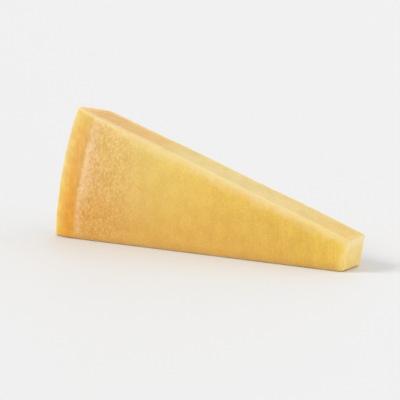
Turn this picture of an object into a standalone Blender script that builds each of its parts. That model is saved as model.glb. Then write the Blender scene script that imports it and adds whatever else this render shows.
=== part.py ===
"""A chunk of parmesan: a thin sector of the wheel, standing on its long cut side.

The wheel's axis runs front to back (along Y).  The rind is at -X, the blunt tip at +X, and the broad
triangular cut faces look to -Y (front) and +Y (back).  The chunk is one solid, lofted upwards from the
base cut to the top cut.  Its sections lie in planes that fan out from the line where those two cuts
would meet.  Each section is the slab's outline: the front face, the rim of the wheel, the back face
and the tip cut.  All lengths are in metres.
"""
import math

import bmesh
import bpy
from mathutils import Vector, noise

# The slab of the wheel
PASTE_RADIUS = 0.200        # wheel axis to the line where the rind begins, on the front face
THICKNESS = 0.0172          # front cut face to back cut face
RIND_REACH = 0.0142         # sharp corner of the rim, outside the paste radius
RIND_CORNER_DEPTH = 0.0028  # that corner, behind the front face
RIND_BACK_REACH = 0.0017    # back end of the rim's slope, outside the paste radius
RIND_BAND_BOW = 0.0005      # how far the band in front swells between its ends
RIND_CORNER_ROUND = 0.0020  # radius worn on the rim's corner
BACK_CORNER_ROUND = 0.0010  # radius where the slope meets the back face

# The knife cuts, measured from the wheel's axis
CUTS_MEET_X = 0.0023        # the base cut and the top cut would meet here, on the front face
CUTS_MEET_HEIGHT = 0.0119   # that meeting point and the base lie this far above the axis
TOP_CUT_SLOPE = math.radians(19.35)   # fall of the top cut towards the tip
TOP_CUT_ROLL = math.radians(3.7)      # rise of the top cut towards the back
TOP_CUT_CROWN = 0.0002      # the middle of the top cut stands this far above its ends
BASE_LENGTH = 0.1546        # along the front of the base, from the paste's edge to the tip cut
TIP_CUT_LEAN = math.radians(9.0)      # the tip cut overhangs its foot
TIP_CUT_YAW = math.radians(7.2)       # the tip cut runs outwards towards the back
EDGE_ROUND = 0.0011         # rounding of every cut edge
EDGE_ANGLE = math.radians(40)         # faces that meet at more than this angle form a cut edge

# Unevenness left by the knife
WARP_DEPTH = 0.0005         # the surface shifts by up to about half of this, to either side
WARP_LENGTH = 0.040         # distance over which the surface rises and falls
WARP_FOOT = 0.012           # the shift fades out over this height above the base
WARP_ORIGINS = ((0, 0, 0), (17, 5, 9), (3, 29, 13))   # where the X, Y and Z shifts start in the noise

# Fineness
SECTION_STEPS = 9           # layers of faces from the base to the top cut
FACE_STEPS = 24             # divisions along the front face and along the back face
BAND_STEPS = 6              # divisions across the band in front
CORNER_STEPS = 6            # flats on each rounded corner of the rim
SLOPE_STEPS = 2             # divisions across the slope at the rim
EDGE_SEGMENTS = 3           # flats on each rounded cut edge

CHEESE_COLOUR = (0.83, 0.55, 0.19, 1.0)
CHEESE_ROUGHNESS = 0.55


def clear_scene():
    for old in list(bpy.data.objects):
        bpy.data.objects.remove(old, do_unlink=True)


def fan_direction(share):
    """Direction from the meeting line towards the rim, at a share of the way up to the top cut."""
    angle = TOP_CUT_SLOPE * share
    return Vector((-math.cos(angle), 0.0, math.sin(angle)))


def fan_normal(share):
    angle = TOP_CUT_SLOPE * share
    return Vector((math.sin(angle), 0.0, math.cos(angle)))


def reach_to_radius(share, radius):
    """Distance along the fan direction at which the wheel's radius is reached."""
    meeting = Vector((CUTS_MEET_X, 0.0, CUTS_MEET_HEIGHT))
    along = meeting.dot(fan_direction(share))
    return -along + math.sqrt(along ** 2 - meeting.length_squared + radius ** 2)


def reach_to_tip(share, depth):
    """Distance along the fan direction at which the tip cut is reached, at a depth in the slab."""
    paste_corner_x = -math.sqrt(PASTE_RADIUS ** 2 - CUTS_MEET_HEIGHT ** 2)
    foot_x = paste_corner_x + BASE_LENGTH + depth * math.tan(TIP_CUT_YAW)
    direction = fan_direction(share)
    lean = math.tan(TIP_CUT_LEAN)
    return (foot_x - CUTS_MEET_X) / (direction.x - direction.z * lean)


def straight(start, end, steps):
    """Evenly spaced points from start up to, but not including, end."""
    return [start.lerp(end, step / steps) for step in range(steps)]


def rounded_corner(before, corner, after, radius):
    """Points of the arc that replaces a corner between two straight lines."""
    to_before = (before - corner).normalized()
    to_after = (after - corner).normalized()
    half_angle = to_before.angle(to_after) / 2
    centre = corner + (to_before + to_after).normalized() * radius / math.sin(half_angle)
    tangent_reach = radius / math.tan(half_angle)
    start = (corner + to_before * tangent_reach - centre).normalized()
    end = (corner + to_after * tangent_reach - centre).normalized()
    return [centre + start.slerp(end, step / CORNER_STEPS) * radius for step in range(CORNER_STEPS + 1)]


def rim_band(start, end):
    """The band in front of the rind, from the crease beside the paste to the rim's rounded corner."""
    run = end - start
    outwards = Vector((run.y, -run.x)).normalized()
    points = straight(start, end, BAND_STEPS)
    for step, point in enumerate(points):
        point += outwards * RIND_BAND_BOW * math.sin(math.pi * step / BAND_STEPS)
    return points


def section_outline(share):
    """Outline of one section, as (reach from the meeting line, depth) points, from the tip's front edge."""
    tip_front = Vector((reach_to_tip(share, 0.0), 0.0))
    tip_back = Vector((reach_to_tip(share, THICKNESS), THICKNESS))
    crease = Vector((reach_to_radius(share, PASTE_RADIUS), 0.0))
    corner = Vector((reach_to_radius(share, PASTE_RADIUS + RIND_REACH), RIND_CORNER_DEPTH))
    back = Vector((reach_to_radius(share, PASTE_RADIUS + RIND_BACK_REACH), THICKNESS))

    nose = rounded_corner(crease, corner, back, RIND_CORNER_ROUND)
    back_corner = rounded_corner(corner, back, tip_back, BACK_CORNER_ROUND)
    front_face = straight(tip_front, crease, FACE_STEPS)
    slope = straight(nose[-1], back_corner[0], SLOPE_STEPS)[1:]
    back_face = straight(back_corner[-1], tip_back, FACE_STEPS)[1:] + [tip_back]
    return front_face + rim_band(crease, nose[0]) + nose + slope + back_corner + back_face


def place(share, reach, depth):
    """World point of a section's outline point, with the wheel's axis still at the origin."""
    point = Vector((CUTS_MEET_X, depth, CUTS_MEET_HEIGHT)) + fan_direction(share) * reach
    from_tip = (reach - reach_to_tip(share, depth)) / (reach_to_radius(share, PASTE_RADIUS)
                                                       - reach_to_tip(share, depth))
    crown = TOP_CUT_CROWN * math.sin(math.pi * min(max(from_tip, 0.0), 1.0))
    return point + fan_normal(share) * share * (crown + depth * math.tan(TOP_CUT_ROLL))


def warped(point):
    """A smooth shift that leaves the base flat."""
    height = min((point.z - CUTS_MEET_HEIGHT) / WARP_FOOT, 1.0)
    fade = height * height * (3 - 2 * height)
    spot = point / WARP_LENGTH
    shift = Vector([noise.noise(spot + Vector(origin)) for origin in WARP_ORIGINS])
    return point + shift * WARP_DEPTH * fade


def make_section(bm, share):
    return [bm.verts.new(warped(place(share, *point))) for point in section_outline(share)]


def join_sections(bm, lower, upper):
    for index in range(len(lower)):
        following = (index + 1) % len(lower)
        bm.faces.new((lower[index], lower[following], upper[following], upper[index]))


def close_section(bm, ring):
    """Fill an end section: a ladder of faces between the front and back faces, and one face at the rim."""
    last = len(ring) - 1
    for index in range(FACE_STEPS):
        bm.faces.new((ring[index], ring[index + 1], ring[last - index - 1], ring[last - index]))
    bm.faces.new(ring[FACE_STEPS:last - FACE_STEPS + 1])


def centre_on_base(bm):
    """Move the middle of the bounding box's lower face to the origin."""
    lowest = [min(vert.co[axis] for vert in bm.verts) for axis in range(3)]
    highest = [max(vert.co[axis] for vert in bm.verts) for axis in range(3)]
    middle_x = (lowest[0] + highest[0]) / 2
    middle_y = (lowest[1] + highest[1]) / 2
    bmesh.ops.translate(bm, verts=bm.verts, vec=(-middle_x, -middle_y, -lowest[2]))


def make_mesh():
    bm = bmesh.new()
    sections = [make_section(bm, step / SECTION_STEPS) for step in range(SECTION_STEPS + 1)]
    for lower, upper in zip(sections, sections[1:]):
        join_sections(bm, lower, upper)
    close_section(bm, sections[0])
    close_section(bm, sections[-1])
    centre_on_base(bm)
    bmesh.ops.recalc_face_normals(bm, faces=bm.faces)
    mesh = bpy.data.meshes.new("cheese_chunk")
    bm.to_mesh(mesh)
    bm.free()
    mesh.shade_smooth()
    return mesh


def round_cut_edges(chunk):
    edge = chunk.modifiers.new("edge_round", "BEVEL")
    edge.width = EDGE_ROUND
    edge.segments = EDGE_SEGMENTS
    edge.limit_method = "ANGLE"
    edge.angle_limit = EDGE_ANGLE
    edge.use_clamp_overlap = False


def make_material():
    material = bpy.data.materials.new("hard_cheese")
    material.use_nodes = True
    shader = material.node_tree.nodes["Principled BSDF"]
    shader.inputs["Base Color"].default_value = CHEESE_COLOUR
    shader.inputs["Roughness"].default_value = CHEESE_ROUGHNESS
    shader.inputs["Metallic"].default_value = 0.0
    return material


def main():
    clear_scene()
    parts = bpy.data.collections.new("parmesan_chunk")
    bpy.context.scene.collection.children.link(parts)
    chunk = bpy.data.objects.new("cheese_chunk", make_mesh())
    chunk.data.materials.append(make_material())
    parts.objects.link(chunk)
    round_cut_edges(chunk)


main()
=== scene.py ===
"""The looks of the parmesan chunk: a dense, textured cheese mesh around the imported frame.

The chunk stands on its long cut side.  Its rind is at -X, its blunt tip at +X, and the wheel it was cut
from has its axis along Y.  All lengths are in metres.
"""
import math

import bmesh
import bpy
import numpy as np
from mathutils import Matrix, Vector, noise
from mathutils.bvhtree import BVHTree
from mathutils.kdtree import KDTree


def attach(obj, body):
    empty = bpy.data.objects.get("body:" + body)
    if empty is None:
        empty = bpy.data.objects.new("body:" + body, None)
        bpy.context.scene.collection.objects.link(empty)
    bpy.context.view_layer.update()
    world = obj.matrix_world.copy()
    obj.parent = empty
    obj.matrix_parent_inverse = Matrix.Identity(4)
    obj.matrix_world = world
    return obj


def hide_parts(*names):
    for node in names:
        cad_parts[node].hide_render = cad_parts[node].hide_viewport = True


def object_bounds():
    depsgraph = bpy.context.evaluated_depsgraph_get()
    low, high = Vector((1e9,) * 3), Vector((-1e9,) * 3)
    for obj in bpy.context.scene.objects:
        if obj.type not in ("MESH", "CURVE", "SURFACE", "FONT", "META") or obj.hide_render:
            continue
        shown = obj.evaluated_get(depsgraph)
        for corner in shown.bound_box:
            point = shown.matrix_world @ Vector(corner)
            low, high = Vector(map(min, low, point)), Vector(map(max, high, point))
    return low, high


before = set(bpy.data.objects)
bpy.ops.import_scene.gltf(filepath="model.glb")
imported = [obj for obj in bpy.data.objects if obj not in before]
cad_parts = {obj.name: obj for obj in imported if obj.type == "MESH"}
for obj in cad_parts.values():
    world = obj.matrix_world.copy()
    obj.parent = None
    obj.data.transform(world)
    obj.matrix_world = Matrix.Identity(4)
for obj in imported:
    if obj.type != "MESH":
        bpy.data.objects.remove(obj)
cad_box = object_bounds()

# The wheel, as in the frame
PASTE_RADIUS = 0.200        # wheel axis to the crease where the rind begins
RIND_REACH = 0.0142         # crease to the outer corner of the rim
AXIS_FROM_RIM = 0.2119      # rim's outermost point to the wheel's axis, along X
AXIS_DROP = 0.0119          # the axis lies this far below the base

# The mesh
VOXEL = 0.0005
SMOOTHING_PASSES = 3
EDGE_PASSES = 8             # smoothing that shows where the edges are
EDGE_ROUNDING = 0.00010     # a point that this smoothing moves further than this is on an edge

# Relief, as depths cut into the surface
CURD_SIZE = 0.0016
CURD_STRETCH = np.array([1.0, 1.0, 0.75])   # the curds are taller than wide
CURD_DEPTH = 0.00026
CURD_REACH = 0.070          # the curds fade out over this distance from the crease
TOOTH_SIZE = 0.0009
TOOTH_DEPTH = 0.00010
STROKE_WIDTH = 0.0013
STROKE_LENGTH = 0.016
STROKE_DEPTH = 0.00012
SWELL_SIZE = 0.016
SWELL_DEPTH = 0.00022
RIDGE_PLACE = 0.0016        # the paste's ridge beside the crease, measured from the crease
RIDGE_WIDTH = 0.0018
RIDGE_HEIGHT = 0.00020
DENT_SIZE = 0.007           # shallow dents in the rind
DENT_DEPTH = 0.00012
LINE_WIDTH = 0.0011         # the rind's brushed lines, which run around the wheel
LINE_LENGTH = 0.020
LINE_DEPTH = 0.00010
NICK_SIZE = 0.0040          # nicks along the cut edges
NICK_REACH = 0.0012
NICK_DEPTH = 0.00028

# The view
VIEW_AZIMUTH = math.radians(29.0)
VIEW_ELEVATION = math.radians(11.0)
VIEW_DISTANCE = 0.7536
LENS = 136.8                # millimetres, on a 36 mm sensor
AIM_X = 0.0039
AIM_HEIGHT = 0.0279


# ---------------------------------------------------------------- mesh

def wheel_axis():
    """The wheel axis's place in the XZ plane, as (x, z)."""
    lowest, highest = cad_box
    return np.array([lowest.x + AXIS_FROM_RIM, lowest.z - AXIS_DROP])


def dense_copy(node, name):
    """An even, fine mesh of a CAD node."""
    bm = bmesh.new()
    bm.from_mesh(node.data)
    bmesh.ops.remove_doubles(bm, verts=bm.verts, dist=0.00001)
    mesh = bpy.data.meshes.new(name)
    bm.to_mesh(mesh)
    bm.free()
    piece = bpy.data.objects.new(name, mesh)
    bpy.context.scene.collection.objects.link(piece)
    remesh = piece.modifiers.new("even_mesh", "REMESH")
    remesh.mode = "VOXEL"
    remesh.voxel_size = VOXEL
    bpy.context.view_layer.update()
    graph = bpy.context.evaluated_depsgraph_get()
    fine = bpy.data.meshes.new_from_object(piece.evaluated_get(graph))
    piece.modifiers.clear()
    piece.data = fine
    bpy.data.meshes.remove(mesh)
    fine.name = name
    fine.materials.clear()
    return piece


def read_points(mesh):
    points = np.empty(len(mesh.vertices) * 3, np.float32)
    mesh.vertices.foreach_get("co", points)
    return points.reshape(-1, 3).astype(float)


def read_normals(mesh):
    normals = np.empty(len(mesh.vertices) * 3, np.float32)
    mesh.vertex_normals.foreach_get("vector", normals)
    return normals.reshape(-1, 3).astype(float)


def write_points(mesh, points):
    mesh.vertices.foreach_set("co", points.astype(np.float32).ravel())
    mesh.update()


def read_edges(mesh):
    edges = np.empty(len(mesh.edges) * 2, np.int32)
    mesh.edges.foreach_get("vertices", edges)
    return edges.reshape(-1, 2)


def averaged(values, edges, passes):
    """Values at the vertices, each drawn towards its neighbours' mean in every pass."""
    count = np.bincount(edges.ravel(), minlength=len(values))[:, None]
    for _ in range(passes):
        total = np.zeros_like(values)
        np.add.at(total, edges[:, 0], values[edges[:, 1]])
        np.add.at(total, edges[:, 1], values[edges[:, 0]])
        values = (values + total / count) / 2
    return values


def smoothstep(low, high, values):
    share = np.clip((values - low) / (high - low), 0.0, 1.0)
    return share * share * (3 - 2 * share)


def ripple(points, size, origin):
    """Smooth noise between about -1 and 1; size is the distance over which it rises and falls."""
    start = Vector(origin)
    return np.array([noise.noise(Vector(spot) + start) for spot in points / np.array(size)])


def lumps(points, size):
    """0 at the middle of each rounded lump and 1 in the gaps between lumps."""
    nearest = np.array([noise.voronoi(Vector(spot))[0][0] for spot in points / size])
    return np.clip(nearest, 0.0, 1.0)


def curds_at(points):
    """Irregular grain: 0 on top of the curds and 1 in the gaps."""
    uneven = 0.5 + 0.5 * ripple(points, CURD_SIZE * 0.6, (9, 4, 2))
    return np.clip(0.6 * lumps(points, CURD_SIZE) + 0.6 * uneven, 0.0, 1.0)


def top_plane(points, normals):
    """A point on the top cut and its upward normal, fitted to the mesh."""
    on_top = (normals[:, 2] > 0.85) & (normals[:, 1] < 0.2)
    cut = points[on_top]
    middle = cut.mean(axis=0)
    upward = np.linalg.svd(cut - middle, full_matrices=False)[2][2]
    return middle, upward * np.sign(upward[2])


def nearest_on(node, points):
    """The point of a CAD node's surface that lies nearest to each point."""
    bm = bmesh.new()
    bm.from_mesh(node.data)
    tree = BVHTree.FromBMesh(bm)
    bm.free()
    return np.array([tree.find_nearest(point)[0] for point in points])


def distance_to_edges(points, edges):
    """How far each point lies from the nearest rounded edge of the chunk."""
    rounding = np.linalg.norm(averaged(points, edges, EDGE_PASSES) - points, axis=1)
    on_edge = np.flatnonzero(rounding > EDGE_ROUNDING)
    tree = KDTree(len(on_edge))
    for index in on_edge:
        tree.insert(points[index], index)
    tree.balance()
    return np.array([tree.find(point)[2] for point in points])


def survey(points, normals, edges):
    """What the relief and the material need to know about every vertex."""
    from_axis = points[:, [0, 2]] - wheel_axis()
    radius = np.linalg.norm(from_axis, axis=1)
    outward = (normals[:, [0, 2]] * from_axis).sum(axis=1) / radius
    middle, upward = top_plane(points, normals)
    cut = smoothstep(0.50, 0.82, np.maximum(normals @ upward, -normals[:, 2]))
    return {
        "radius": radius,
        "below_top": (middle - points) @ upward,
        "cut": cut,
        "end": smoothstep(0.45, 0.80, normals[:, 0]) * (1 - cut),
        "rim": smoothstep(0.55, 0.85, outward) * (1 - cut),
        "edge_distance": distance_to_edges(points, edges),
        "curd": curds_at(points * CURD_STRETCH),
    }


def paste_relief(points, facts):
    """Depth of the cut faces: curds near the rind and knife strokes towards the tip."""
    from_crease = PASTE_RADIUS - facts["radius"]
    near_rind = 1 - smoothstep(0.0, CURD_REACH, from_crease)
    broad_face = 1 - np.maximum(facts["cut"], facts["end"])
    curds = CURD_DEPTH * (0.12 + 0.88 * near_rind) * facts["curd"]
    tooth = TOOTH_DEPTH * (0.5 + 0.5 * ripple(points, TOOTH_SIZE, (3, 8, 1)))
    stroke_size = (STROKE_WIDTH, STROKE_WIDTH, STROKE_LENGTH)
    strokes = STROKE_DEPTH * (0.5 + 0.5 * ripple(points, stroke_size, (11, 2, 7)))
    strokes *= broad_face * (1 - near_rind)
    beside_ridge = 1 - np.exp(-((from_crease - RIDGE_PLACE) / RIDGE_WIDTH) ** 2)
    return curds + tooth + strokes + RIDGE_HEIGHT * broad_face * beside_ridge


def rind_relief(points):
    """Depth of the rind: shallow dents and fine brushed lines."""
    dents = DENT_DEPTH * (0.5 + 0.5 * ripple(points, DENT_SIZE, (1, 6, 13)))
    line_size = (LINE_WIDTH * 2, LINE_WIDTH, LINE_LENGTH)
    return dents + LINE_DEPTH * (0.5 + 0.5 * ripple(points, line_size, (8, 3, 10)))


def cheese_relief(points, normals, facts):
    """Depth of the surface below the frame's own surface at every point."""
    skin = smoothstep(PASTE_RADIUS - 0.0004, PASTE_RADIUS + 0.0006, facts["radius"]) * (1 - facts["cut"])
    depth = (1 - skin) * paste_relief(points, facts) + skin * rind_relief(points)
    depth += SWELL_DEPTH * (0.5 + 0.5 * ripple(points, SWELL_SIZE, (5, 5, 5)))
    chipped = smoothstep(0.20, 0.60, ripple(points, NICK_SIZE, (2, 12, 6)))
    depth += NICK_DEPTH * chipped * (1 - smoothstep(0.0, NICK_REACH, facts["edge_distance"]))
    base = smoothstep(0.7, 0.95, -normals[:, 2])
    return depth * (1 - base)


def keep_attribute(mesh, name, values):
    attribute = mesh.attributes.new(name, "FLOAT", "POINT")
    attribute.data.foreach_set("value", values.astype(np.float32))


def make_cheese():
    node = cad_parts["cheese_chunk"]
    cheese = dense_copy(node, "parmesan_chunk")
    mesh = cheese.data
    edges = read_edges(mesh)
    even = averaged(read_points(mesh), edges, SMOOTHING_PASSES)
    write_points(mesh, averaged(nearest_on(node, even), edges, 1))
    points = read_points(mesh)
    normals = averaged(read_normals(mesh), edges, SMOOTHING_PASSES)
    normals /= np.linalg.norm(normals, axis=1)[:, None]
    facts = survey(points, normals, edges)
    depth = cheese_relief(points, normals, facts)
    write_points(mesh, points - normals * depth[:, None])
    for name in ("below_top", "cut", "end", "rim", "edge_distance", "curd"):
        keep_attribute(mesh, name, facts[name])
    mesh.shade_smooth()
    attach(cheese, "root")
    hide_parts("cheese_chunk")
    return cheese


# ---------------------------------------------------------------- materials

class Nodes:
    """Adds shader nodes to a material and links them."""

    def __init__(self, name):
        self.material = bpy.data.materials.new(name)
        self.material.use_nodes = True
        self.tree = self.material.node_tree
        self.shader = self.tree.nodes["Principled BSDF"]

    def add(self, kind, inputs=None, **settings):
        node = self.tree.nodes.new(kind)
        for key, value in settings.items():
            setattr(node, key, value)
        for key, value in (inputs or {}).items():
            self.feed(node.inputs[key], value)
        return node

    def feed(self, socket, value):
        """Links a socket, sets a display colour given as three channels, or sets a plain value."""
        if isinstance(value, bpy.types.NodeSocket):
            self.tree.links.new(value, socket)
        elif socket.type == "RGBA":
            socket.default_value = (*linear(value), 1.0)
        else:
            socket.default_value = value

    def math(self, operation, first, second=0.0):
        return self.add("ShaderNodeMath", {0: first, 1: second}, operation=operation).outputs[0]

    def product(self, *factors):
        result = factors[0]
        for factor in factors[1:]:
            result = self.math("MULTIPLY", result, factor)
        return result

    def without(self, share):
        """One less a share."""
        return self.math("SUBTRACT", 1.0, share)

    def vector_math(self, operation, first, second=(0.0, 0.0, 0.0)):
        return self.add("ShaderNodeVectorMath", {0: first, 1: second}, operation=operation).outputs

    def remap(self, value, low, high, to_low=0.0, to_high=1.0, ease="SMOOTHSTEP"):
        """A value carried from one range to another, held at both ends."""
        inputs = {"Value": value, "From Min": low, "From Max": high, "To Min": to_low, "To Max": to_high}
        node = self.add("ShaderNodeMapRange", inputs, interpolation_type=ease)
        return node.outputs["Result"]

    def attribute(self, name):
        return self.add("ShaderNodeAttribute", attribute_name=name).outputs["Fac"]

    def noise(self, position, size, detail=2.0):
        inputs = {"Vector": position, "Scale": 1.0 / size, "Detail": detail}
        return self.add("ShaderNodeTexNoise", inputs).outputs["Fac"]

    def ramp(self, value, stops):
        node = self.add("ShaderNodeValToRGB", {"Fac": value})
        elements = node.color_ramp.elements
        while len(elements) < len(stops):
            elements.new(0.5)
        for element, (place, colour) in zip(elements, stops):
            element.position = place
            element.color = (*linear(colour), 1.0)
        return node.outputs["Color"]

    def mix(self, factor, first, second, blend="MIX"):
        node = self.add("ShaderNodeMix", data_type="RGBA", blend_type=blend)
        self.feed(node.inputs["Factor"], factor)
        self.feed(node.inputs[6], first)
        self.feed(node.inputs[7], second)
        return node.outputs[2]

    def tint(self, factor, colour, shade):
        """A colour multiplied by a shade."""
        return self.mix(factor, colour, shade, "MULTIPLY")


def linear(colour):
    """Scene-linear value of a display colour whose channels run from 0 to 255."""
    return [((c / 255 + 0.055) / 1.055) ** 2.4 if c > 10 else c / 255 / 12.92 for c in colour]


def places(nodes):
    """Sockets that tell the cheese shader where on the chunk a point lies."""
    position = nodes.add("ShaderNodeTexCoord").outputs["Object"]
    axis = wheel_axis()
    from_axis = nodes.vector_math("SUBTRACT", position, (axis[0], 0.0, axis[1]))[0]
    in_plane = nodes.vector_math("MULTIPLY", from_axis, (1.0, 0.0, 1.0))[0]
    radius = nodes.vector_math("LENGTH", in_plane)["Value"]
    wobble = nodes.remap(nodes.noise(position, 0.018), 0.3, 0.7, -0.004, 0.004)
    drifted = nodes.math("ADD", radius, wobble)
    separate = nodes.add("ShaderNodeSeparateXYZ", {0: position}).outputs
    cut = nodes.attribute("cut")
    end = nodes.attribute("end")
    return {
        "position": position,
        "along": separate["X"],
        "height": separate["Z"],
        "radius": radius,
        "share": nodes.remap(drifted, PASTE_RADIUS, 0.045, ease="LINEAR"),
        "near_rind": nodes.remap(drifted, 0.15, PASTE_RADIUS),
        "below_top": nodes.attribute("below_top"),
        "edge_distance": nodes.attribute("edge_distance"),
        "curd": nodes.attribute("curd"),
        "cut": cut,
        "end": end,
        "rim": nodes.attribute("rim"),
        "broad": nodes.without(nodes.math("MAXIMUM", cut, end)),
    }


def broad_paste(nodes, at):
    """The two large cut faces: peach beside the rind, golden towards the tip, deeper and more orange lower
    down (partly the cheese's own tone, partly painted shade), with a painted warm shade low beside the rind.
    """
    colour = nodes.ramp(at["share"], [
        (0.00, (246, 217, 151)),
        (0.06, (246, 218, 144)),
        (0.22, (244, 219, 127)),
        (0.38, (243, 211, 108)),
        (0.54, (241, 204, 95)),
        (0.75, (240, 204, 91)),
        (1.00, (243, 210, 86)),
    ])
    # Deeper and more orange lower down: partly the cheese's own tone, partly painted shade from light falling
    # from above.
    deep_tone_and_shade = nodes.ramp(at["share"], [(0.0, (238, 184, 106)), (0.3, (226, 176, 76)), (1.0, (222, 160, 74))])
    depth = nodes.remap(at["below_top"], 0.004, 0.047, 0.0, 0.75, ease="LINEAR")
    colour = nodes.mix(depth, colour, deep_tone_and_shade)
    # Partly painted warm shade: yellower low down beside the rind.
    low = nodes.product(nodes.remap(at["height"], 0.026, 0.014), at["near_rind"])
    return nodes.tint(low, colour, (255, 250, 212))


def narrow_paste(nodes, at):
    """The top and base cuts, and the blunt end: paler than the broad faces, partly a painted sheen; the end
    paler still towards its top, a painted highlight.
    """
    # Paler and greyer than the broad faces, partly a painted sheen.
    colour = nodes.ramp(at["share"], [
        (0.00, (230, 189, 122)),
        (0.08, (224, 183, 109)),
        (0.22, (226, 189, 112)),
        (0.38, (227, 203, 134)),
        (0.54, (230, 209, 143)),
        (0.75, (230, 204, 135)),
        (0.88, (229, 200, 120)),
        (1.00, (234, 203, 118)),
    ])
    # Painted light: the end is pale, and paler still towards its top.
    end = nodes.ramp(nodes.remap(at["height"], 0.003, 0.018), [
        (0.0, (253, 222, 140)),
        (0.5, (250, 223, 149)),
        (1.0, (252, 238, 200)),
    ])
    return nodes.mix(at["end"], colour, end)


def paste_grain(nodes, at, colour):
    """Curds, pale crystals and soft mottles near the rind, specks everywhere, knife strokes near the tip."""
    grain = nodes.product(at["near_rind"], nodes.remap(at["broad"], 0.0, 1.0, 0.45, 1.0))
    gap = nodes.remap(at["curd"], 0.35, 0.85)
    colour = nodes.tint(nodes.product(gap, grain), colour, (238, 221, 198))
    crystal = nodes.remap(nodes.noise(at["position"], 0.0010, 3.0), 0.54, 0.70, 0.0, 0.6)
    colour = nodes.mix(nodes.product(crystal, grain), colour, (250, 222, 174))
    mottle = nodes.remap(nodes.noise(at["position"], 0.0035), 0.62, 0.38)
    colour = nodes.tint(nodes.product(mottle, grain), colour, (254, 250, 234))
    speck = nodes.remap(nodes.noise(at["position"], 0.0008, 5.0), 0.62, 0.36, 0.0, 0.6)
    colour = nodes.tint(speck, colour, (244, 236, 220))
    cloud = nodes.remap(nodes.noise(at["position"], 0.008, 3.0), 0.62, 0.36)
    colour = nodes.tint(cloud, colour, (250, 246, 238))
    stretched = nodes.vector_math("MULTIPLY", at["position"], (1.0, 1.0, 0.09))[0]
    stroke = nodes.remap(nodes.noise(stretched, 0.0012), 0.65, 0.35)
    stroked = nodes.product(stroke, at["broad"], nodes.remap(at["share"], 0.45, 0.85, 0.0, 0.6))
    return nodes.tint(stroked, colour, (246, 239, 226))


def crumbly_ridge(nodes, at, colour):
    """The pale, crumbly strip that runs beside the crease on the broad faces."""
    below_head = nodes.remap(at["height"], 0.060, 0.042)
    middle = nodes.product(below_head, nodes.remap(at["height"], 0.010, 0.028))
    reach = nodes.remap(middle, 0.0, 1.0, PASTE_RADIUS - 0.0070, PASTE_RADIUS - 0.0120)
    strip = nodes.remap(at["radius"], reach, PASTE_RADIUS - 0.0025, 0.0, 0.75)
    broken = nodes.remap(nodes.noise(at["position"], 0.0015, 4.0), 0.34, 0.64, 0.35, 1.0)
    strength = nodes.product(nodes.remap(at["height"], 0.010, 0.036, 0.4, 1.0),
                             nodes.remap(at["below_top"], 0.004, 0.018, 0.55, 1.0))
    colour = nodes.mix(nodes.product(strip, broken, strength, at["broad"]), colour, (250, 214, 162))
    lip = nodes.remap(at["radius"], PASTE_RADIUS - 0.0052, PASTE_RADIUS - 0.0030, 0.0, 0.40)
    gaps = nodes.remap(nodes.noise(at["position"], 0.0045), 0.36, 0.56, 0.0, 1.0)
    return nodes.mix(nodes.product(lip, gaps, strength, at["broad"]), colour, (252, 221, 168))


def painted_edge_light_and_foot_shade(nodes, at, colour):
    """Painted light and shade: a paler band of painted light under the top edge, painted highlights along all
    cut edges, a painted glow beside the tip, all paler near the tip, and a painted shade along the foot.
    """
    # Painted light: a pale band under the top edge, paler still near the tip.
    rag = nodes.remap(nodes.noise(at["position"], 0.005, 4.0), 0.3, 0.7, -0.0012, 0.0012)
    below = nodes.math("ADD", at["below_top"], rag)
    reach = nodes.remap(at["share"], 0.0, 0.25, 0.0036, 0.0058)
    top_light_band = nodes.remap(below, reach, 0.0, 0.0, 0.95, ease="LINEAR")
    near_tip = nodes.remap(at["share"], 0.7, 1.0)
    top_light_colour = nodes.tint(near_tip, (243, 221, 154), (255, 253, 236))
    colour = nodes.mix(nodes.product(top_light_band, at["broad"]), colour, top_light_colour)
    # Painted shade: darker along the foot, except on the end.
    foot_shade = nodes.remap(at["height"], 0.005, 0.0004, 0.0, 0.5)
    colour = nodes.mix(nodes.product(foot_shade, nodes.without(at["end"])), colour, (212, 160, 84))
    # Painted light: a glow in the broad faces beside the tip.
    tip = cad_box[1].x
    painted_tip_glow = nodes.remap(at["along"], tip - 0.0100, tip - 0.0048, 0.0, 0.5)
    painted_tip_glow = nodes.product(painted_tip_glow, nodes.remap(at["below_top"], 0.004, 0.012), at["broad"])
    colour = nodes.mix(painted_tip_glow, colour, (250, 231, 144))
    # Painted highlight: a pale line along the cut edges, paler near the tip.
    wider = nodes.product(at["cut"], nodes.remap(at["share"], 0.30, 0.15, 0.0, 0.0022))
    highlight_line = nodes.remap(at["edge_distance"], nodes.math("ADD", wider, 0.0024), 0.0, 0.0, 0.6)
    highlight_line = nodes.product(highlight_line, nodes.remap(at["height"], 0.003, 0.008))
    edge_highlight = nodes.mix(nodes.remap(at["below_top"], 0.001, 0.004), (236, 214, 160), (250, 230, 166))
    edge_highlight = nodes.tint(near_tip, edge_highlight, (255, 253, 236))
    return nodes.mix(highlight_line, colour, edge_highlight)


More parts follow.
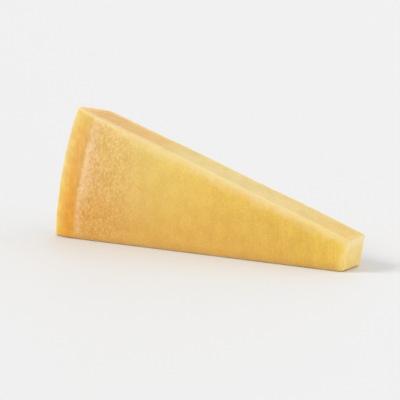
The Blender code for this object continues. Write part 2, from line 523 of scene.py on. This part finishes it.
def rind_over(nodes, at, colour):
    """The rind: deep orange by the crease, partly painted shade; paler on the rim, and paler towards its outer
    corner, which is painted light at the thin edge; yellower near its top, where the painted shade fades; a
    painted highlight along its top edge.
    """
    across = nodes.remap(at["radius"], PASTE_RADIUS, PASTE_RADIUS + RIND_REACH, ease="LINEAR")
    # Deep orange by the crease is partly painted shade; the paler outer corner is painted light at the thin
    # edge.
    rind = nodes.ramp(across, [
        (0.00, (238, 192, 116)),
        (0.12, (238, 188, 100)),
        (0.30, (238, 188, 94)),
        (0.60, (238, 205, 115)),
        (0.85, (236, 227, 168)),
        (1.00, (237, 240, 214)),
    ])
    low = nodes.product(nodes.remap(at["height"], 0.060, 0.0), nodes.remap(across, 1.0, 0.7))
    rind = nodes.tint(low, rind, (252, 237, 170))
    inner_low = nodes.product(nodes.remap(at["height"], 0.055, 0.010), nodes.remap(across, 0.6, 0.2))
    rind = nodes.tint(inner_low, rind, (255, 248, 200))
    rind = nodes.mix(at["rim"], rind, (236, 200, 122))
    blotch = nodes.remap(nodes.noise(at["position"], 0.004, 4.0), 0.62, 0.38)
    rind = nodes.tint(blotch, rind, (248, 241, 226))
    lines = nodes.vector_math("MULTIPLY", at["position"], (0.5, 1.0, 0.06))[0]
    brushed = nodes.remap(nodes.noise(lines, 0.0009, 3.0), 0.62, 0.38, 0.0, 0.45)
    rind = nodes.tint(brushed, rind, (246, 238, 222))
    # Painted light: yellower near the top, where the painted shade by the crease gives way.
    rind = nodes.mix(nodes.remap(at["below_top"], 0.014, 0.003, 0.0, 0.6), rind, (229, 199, 102))
    # Painted highlight: a pale line along the rind's top edge.
    edge_highlight = nodes.remap(at["edge_distance"], 0.0018, 0.0002, 0.0, 0.45)
    rind = nodes.mix(nodes.product(edge_highlight, nodes.remap(at["below_top"], 0.006, 0.002)), rind, (230, 206, 142))
    rag = nodes.remap(nodes.noise(at["position"], 0.0022, 3.0), 0.3, 0.7, -0.0006, 0.0006)
    overhang = nodes.remap(at["below_top"], 0.014, 0.005, 0.0, -0.0010)
    border = nodes.math("ADD", at["radius"], nodes.math("ADD", rag, overhang))
    outside = nodes.remap(border, PASTE_RADIUS - 0.0026, PASTE_RADIUS - 0.0003)
    return nodes.mix(nodes.product(outside, nodes.without(at["cut"])), colour, rind)


def cheese_material():
    nodes = Nodes("aged_cheese")
    at = places(nodes)
    narrow = nodes.math("MAXIMUM", at["cut"], at["end"])
    colour = nodes.mix(narrow, broad_paste(nodes, at), narrow_paste(nodes, at))
    colour = paste_grain(nodes, at, colour)
    colour = crumbly_ridge(nodes, at, colour)
    colour = painted_edge_light_and_foot_shade(nodes, at, colour)
    colour = rind_over(nodes, at, colour)
    nodes.feed(nodes.shader.inputs["Base Color"], colour)

    rough = nodes.remap(nodes.noise(at["position"], 0.003), 0.3, 0.7, 0.46, 0.60)
    nodes.feed(nodes.shader.inputs["Roughness"], rough)
    nodes.shader.inputs["Subsurface Weight"].default_value = 0.7
    nodes.shader.inputs["Subsurface Radius"].default_value = (1.0, 0.7, 0.35)
    nodes.shader.inputs["Subsurface Scale"].default_value = 0.0035

    fine = nodes.noise(at["position"], 0.0005, 2.0)
    bump = nodes.add("ShaderNodeBump", {"Height": fine, "Strength": 0.4, "Distance": 0.0002})
    nodes.feed(nodes.shader.inputs["Normal"], bump.outputs["Normal"])
    return nodes.material


def floor_material():
    nodes = Nodes("pale_floor")
    nodes.shader.inputs["Base Color"].default_value = (0.755, 0.755, 0.755, 1.0)
    nodes.shader.inputs["Roughness"].default_value = 0.6
    nodes.shader.inputs["Specular IOR Level"].default_value = 0.2
    return nodes.material


# ---------------------------------------------------------------- studio

def make_floor():
    bm = bmesh.new()
    bmesh.ops.create_grid(bm, x_segments=1, y_segments=1, size=6.0)
    mesh = bpy.data.meshes.new("studio_floor")
    bm.to_mesh(mesh)
    bm.free()
    floor = bpy.data.objects.new("studio_floor", mesh)
    floor.location.z = cad_box[0].z - 0.0001
    floor.data.materials.append(floor_material())
    bpy.context.scene.collection.objects.link(floor)


def make_sun(name, azimuth, elevation, strength, softness):
    data = bpy.data.lights.new(name, "SUN")
    data.energy = strength
    data.angle = math.radians(softness)
    sun = bpy.data.objects.new(name, data)
    sun.rotation_mode = "QUATERNION"
    sun.rotation_quaternion = towards(math.radians(azimuth), math.radians(elevation)).to_track_quat("Z", "Y")
    bpy.context.scene.collection.objects.link(sun)


def make_world(strength, backdrop):
    """Even white light, in front of a backdrop of its own strength, which a low view shows above the floor."""
    world = bpy.data.worlds.new("studio")
    world.use_nodes = True
    nodes = world.node_tree.nodes
    light_path = nodes.new("ShaderNodeLightPath")
    level = nodes.new("ShaderNodeMapRange")
    level.inputs["To Min"].default_value = strength
    level.inputs["To Max"].default_value = backdrop
    background = nodes["Background"]
    background.inputs["Color"].default_value = (1.0, 1.0, 1.0, 1.0)
    world.node_tree.links.new(light_path.outputs["Is Camera Ray"], level.inputs["Value"])
    world.node_tree.links.new(level.outputs["Result"], background.inputs["Strength"])
    bpy.context.scene.world = world


def towards(azimuth, elevation):
    """Unit vector from the chunk towards a viewer or a light."""
    level = math.cos(elevation)
    return Vector((math.sin(azimuth) * level, -math.cos(azimuth) * level, math.sin(elevation)))


def make_camera():
    data = bpy.data.cameras.new("camera")
    data.lens = LENS
    data.sensor_width = 36.0
    data.clip_start = 0.05
    data.clip_end = 50.0
    camera = bpy.data.objects.new("camera", data)
    aim = Vector((AIM_X, cad_box[0].y, AIM_HEIGHT))
    back = towards(VIEW_AZIMUTH, VIEW_ELEVATION)
    camera.location = aim + back * VIEW_DISTANCE
    camera.rotation_mode = "QUATERNION"
    camera.rotation_quaternion = back.to_track_quat("Z", "Y")
    bpy.context.scene.collection.objects.link(camera)
    bpy.context.scene.camera = camera


bpy.context.scene.view_settings.view_transform = "Standard"
make_camera()
make_floor()
make_world(0.67, 0.87)
make_sun("key", -58, 36, 1.60, 24)
make_sun("fill", 100, 32, 0.85, 60)
make_sun("back", 195, 30, 0.28, 60)
cheese = make_cheese()
cheese.data.materials.append(cheese_material())
